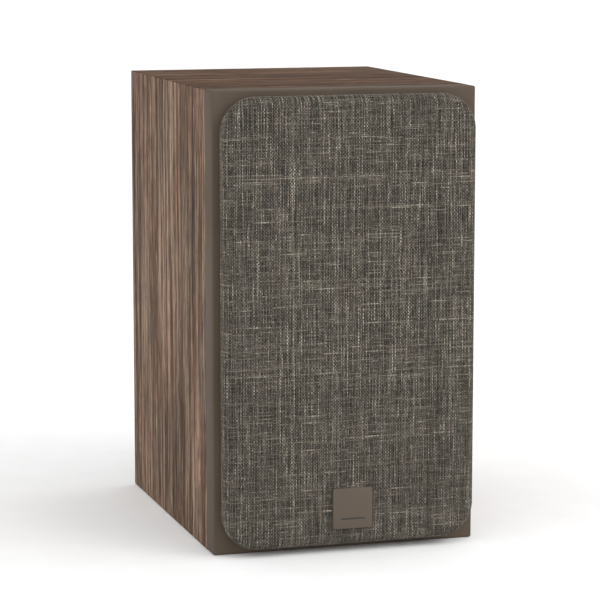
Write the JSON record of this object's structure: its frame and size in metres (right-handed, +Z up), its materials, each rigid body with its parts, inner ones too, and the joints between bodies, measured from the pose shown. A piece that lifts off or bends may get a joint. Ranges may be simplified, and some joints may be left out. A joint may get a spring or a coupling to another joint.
{
  "type": "bookshelf speaker",
  "caption": "Compact two-way bookshelf speaker: wood-look wrapped cabinet, taupe baffle, pull-off rounded cloth grille with blank badge, rear port and binding posts.",
  "frame": {"origin": "centre of the cabinet's underside, halfway between the baffle's face and the rear panel's", "axes": "+Z up; the front, with the grille, faces -Y; +X is right seen from the front"},
  "size_m": [0.162, 0.234, 0.274],
  "materials": {
    "walnut_vinyl": "matte walnut-pattern vinyl wrap on fibreboard",
    "baffle_lacquer": "satin taupe lacquer on fibreboard",
    "grille_cloth": "slubbed brown-grey woven grille cloth",
    "badge": "satin taupe plate, blank",
    "black_plastic": "moulded black",
    "rubber": "matt black",
    "cone_pulp": "dark coated paper pulp",
    "textile_dome": "black coated silk",
    "spider_cloth": "resin-dipped yellow cotton",
    "ferrite": "dark grey sintered",
    "steel": "zinc-plated",
    "black_steel": "black powder coat",
    "gilt_brass": "gold-flashed",
    "copper": "enamelled winding",
    "circuit_board": "green solder mask",
    "capacitor_film": "yellow tape wrap",
    "cable_sheath": "flexible grey sheath",
    "wadding": "white polyester fibre",
    "red_plastic": "moulded red"
  },
  "bodies": {
    "cabinet": {"bottom_panel": "walnut_vinyl", "bracket_screw_1": "steel", "bracket_screw_2": "steel", "crossover_board": "circuit_board", "damping_wadding": "wadding", "film_capacitor": "capacitor_film", "front_baffle": "baffle_lacquer", "grille_socket_1": "rubber", "grille_socket_2": "rubber", "grille_socket_3": "rubber", "grille_socket_4": "rubber", "input_lead": "cable_sheath", "keyhole_bracket": "steel", "left_side_panel": "walnut_vinyl", "port_tube": "black_plastic", "post_stem_minus": "gilt_brass", "post_stem_plus": "gilt_brass", "rear_panel": "walnut_vinyl", "right_side_panel": "walnut_vinyl", "terminal_plate": "black_plastic", "terminal_screw_1": "black_steel", "terminal_screw_2": "black_steel", "terminal_screw_3": "black_steel", "terminal_screw_4": "black_steel", "top_panel": "walnut_vinyl", "tweeter_faceplate": "black_plastic", "tweeter_inductor": "copper", "tweeter_lead": "cable_sheath", "tweeter_magnet": "ferrite", "tweeter_rear_cup": "black_plastic", "tweeter_screw_1": "black_steel", "tweeter_screw_2": "black_steel", "tweeter_screw_3": "black_steel", "tweeter_top_plate": "steel", "tweeter_yoke": "steel", "woofer_basket": "black_steel", "woofer_inductor": "copper", "woofer_lead": "cable_sheath", "woofer_magnet": "ferrite", "woofer_screw_1": "black_steel", "woofer_screw_2": "black_steel", "woofer_screw_3": "black_steel", "woofer_screw_4": "black_steel", "woofer_top_plate": "steel", "woofer_yoke": "steel"},
    "grille": {"grille_frame": "black_plastic", "grille_cloth": "grille_cloth", "grille_badge": "badge"},
    "woofer_moving": {"woofer_cone": "cone_pulp", "woofer_dust_cap": "cone_pulp", "woofer_voice_coil": "copper", "woofer_surround": "rubber", "woofer_spider": "spider_cloth"},
    "tweeter_moving": {"tweeter_dome": "textile_dome", "tweeter_voice_coil": "copper", "tweeter_surround": "textile_dome"},
    "washer_plus": {"post_washer_plus": "gilt_brass"},
    "cap_plus": {"post_cap_plus": "red_plastic"},
    "washer_minus": {"post_washer_minus": "gilt_brass"},
    "cap_minus": {"post_cap_minus": "black_plastic"}
  },
  "joints": [
    {"name": "grille_pull", "type": "slide", "parent": "cabinet", "child": "grille", "axis": [0, -1, 0], "range_m": [0, 0.05]},
    {"name": "woofer_excursion", "type": "slide", "parent": "cabinet", "child": "woofer_moving", "axis": [0, -1, 0], "range_m": [-0.004, 0.004], "stiffness_N_per_m": 1100, "deforming": ["woofer_surround", "woofer_spider"]},
    {"name": "tweeter_excursion", "type": "slide", "parent": "cabinet", "child": "tweeter_moving", "axis": [0, -1, 0], "range_m": [-0.0005, 0.0005], "stiffness_N_per_m": 4000, "deforming": ["tweeter_surround"]},
    {"name": "post_plus_rise", "type": "slide", "parent": "cabinet", "child": "washer_plus", "axis": [0, 1, 0], "range_m": [0, 0.005]},
    {"name": "post_plus_turn", "type": "hinge", "parent": "washer_plus", "child": "cap_plus", "pos_m": [-0.018, 0.111, 0.084], "axis": [0, 1, 0], "range_deg": [0, 2250]},
    {"name": "post_minus_rise", "type": "slide", "parent": "cabinet", "child": "washer_minus", "axis": [0, 1, 0], "range_m": [0, 0.005]},
    {"name": "post_minus_turn", "type": "hinge", "parent": "washer_minus", "child": "cap_minus", "pos_m": [0.018, 0.111, 0.084], "axis": [0, 1, 0], "range_deg": [0, 2250]}
  ],
  "couplings": [
    {"joint": "post_plus_turn", "follows": "post_plus_rise", "rad_per_m": 7853.9},
    {"joint": "post_minus_turn", "follows": "post_minus_rise", "rad_per_m": 7853.9}
  ]
}
